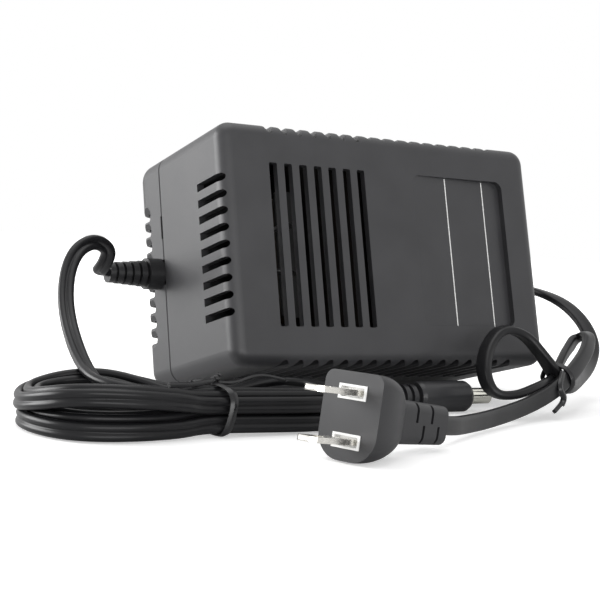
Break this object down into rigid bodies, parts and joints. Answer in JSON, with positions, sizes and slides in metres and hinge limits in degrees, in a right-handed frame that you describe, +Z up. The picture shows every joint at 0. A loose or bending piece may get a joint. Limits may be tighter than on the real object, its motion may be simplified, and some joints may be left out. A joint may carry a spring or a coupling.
{
  "type": "plug in ac transformer",
  "caption": "Mains transformer in a vented black two-part plastic case, with a flat two-blade plug on a tied lead and a barrel connector on a tied hank of thin lead.",
  "frame": {"origin": "on the ground, under the centre of the case's bounding box", "axes": "+X along the case's long side from the output end to the mains end, +Y from the vented front face towards the back, +Z up"},
  "size_m": [0.2499, 0.1672, 0.0921],
  "materials": {
    "case_plastic": "fine matt moulded texture",
    "lead_vinyl": "satin vinyl",
    "tie_vinyl": "satin",
    "screw_steel": "zinc plated",
    "core_steel": "varnished laminations",
    "bobbin_plastic": "natural nylon",
    "copper": "enamelled wire",
    "tape": "polyester tape",
    "pin_tin": "tinned",
    "cutout_case": "drawn can",
    "wire_vinyl": "vinyl insulation",
    "sleeve_metal": "nickel plated",
    "insulator_plastic": "moulded",
    "contact_metal": "spring bronze",
    "holder_plastic": "white moulding",
    "blade_metal": "nickel plated brass"
  },
  "bodies": {
    "root": {"front_shell": "case_plastic", "rear_shell": "case_plastic", "case_screws": "screw_steel", "core_e_stack": "core_steel", "core_i_stack": "core_steel", "bobbin": "bobbin_plastic", "terminal_pins": "pin_tin", "primary_winding": "copper", "secondary_winding": "copper", "primary_tape": "tape", "secondary_tape": "tape", "thermal_cutout": "cutout_case", "mains_inner_wires": "wire_vinyl", "output_inner_wires": "wire_vinyl", "mains_strain_relief": "lead_vinyl", "output_strain_relief": "lead_vinyl", "output_lead": "lead_vinyl", "output_lead_hank": "lead_vinyl", "hank_tie": "tie_vinyl", "output_lead_end": "lead_vinyl", "jack_shell": "lead_vinyl", "jack_sleeve": "sleeve_metal", "jack_insulator": "insulator_plastic", "jack_contact": "contact_metal", "mains_lead": "lead_vinyl", "mains_lead_tie": "tie_vinyl", "plug_body": "lead_vinyl", "plug_holder": "holder_plastic", "plug_blade_lower": "blade_metal", "plug_blade_upper": "blade_metal"}
  },
  "joints": []
}
